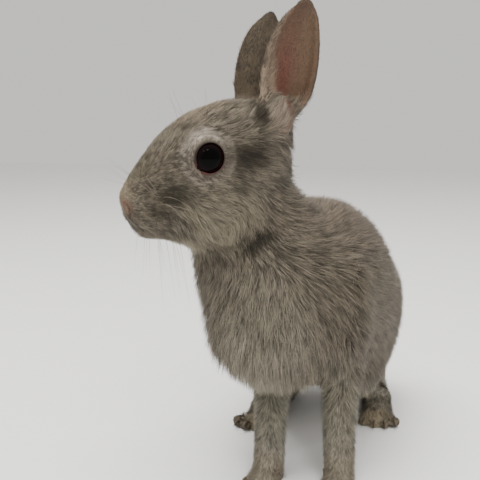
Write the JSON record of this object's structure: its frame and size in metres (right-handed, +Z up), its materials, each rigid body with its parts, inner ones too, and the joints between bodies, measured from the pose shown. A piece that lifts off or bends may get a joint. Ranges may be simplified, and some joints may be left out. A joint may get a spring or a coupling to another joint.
{
  "type": "rabbit",
  "caption": "Still, life-size young agouti rabbit that sits up on straight forelegs, ears upright, with its head turned to its right.",
  "frame": {"origin": "middle of the bottom of the whole rabbit's box, on the floor that its feet rest on", "axes": "+Z up, the body faces -Y, +X is the rabbit's left"},
  "size_m": [0.1082, 0.1664, 0.1992],
  "materials": {
    "coat": "soft agouti fur, grey-beige with dark ticking",
    "pale_coat": "short pale fur",
    "ear": "thin skin, pink inside, short fur outside",
    "nose_skin": "soft pinkish skin under very short hair",
    "horn": "dark claw horn",
    "eye": "wet, almost black brown"
  },
  "bodies": {
    "root": {"ear_left": "ear", "ear_right": "ear", "eye_left": "eye", "eye_right": "eye", "fore_left_claw_1": "horn", "fore_left_claw_2": "horn", "fore_left_claw_3": "horn", "fore_left_claw_4": "horn", "fore_left_claw_5": "horn", "fore_left_forearm": "coat", "fore_left_paw": "pale_coat", "fore_left_upper_arm": "coat", "fore_right_claw_1": "horn", "fore_right_claw_2": "horn", "fore_right_claw_3": "horn", "fore_right_claw_4": "horn", "fore_right_claw_5": "horn", "fore_right_forearm": "coat", "fore_right_paw": "pale_coat", "fore_right_upper_arm": "coat", "head": "coat", "hind_left_claw_1": "horn", "hind_left_claw_2": "horn", "hind_left_claw_3": "horn", "hind_left_claw_4": "horn", "hind_left_foot": "pale_coat", "hind_left_thigh": "coat", "hind_right_claw_1": "horn", "hind_right_claw_2": "horn", "hind_right_claw_3": "horn", "hind_right_claw_4": "horn", "hind_right_foot": "pale_coat", "hind_right_thigh": "coat", "lower_jaw": "pale_coat", "neck": "coat", "nose": "nose_skin", "tail": "coat", "trunk": "coat"}
  },
  "joints": []
}
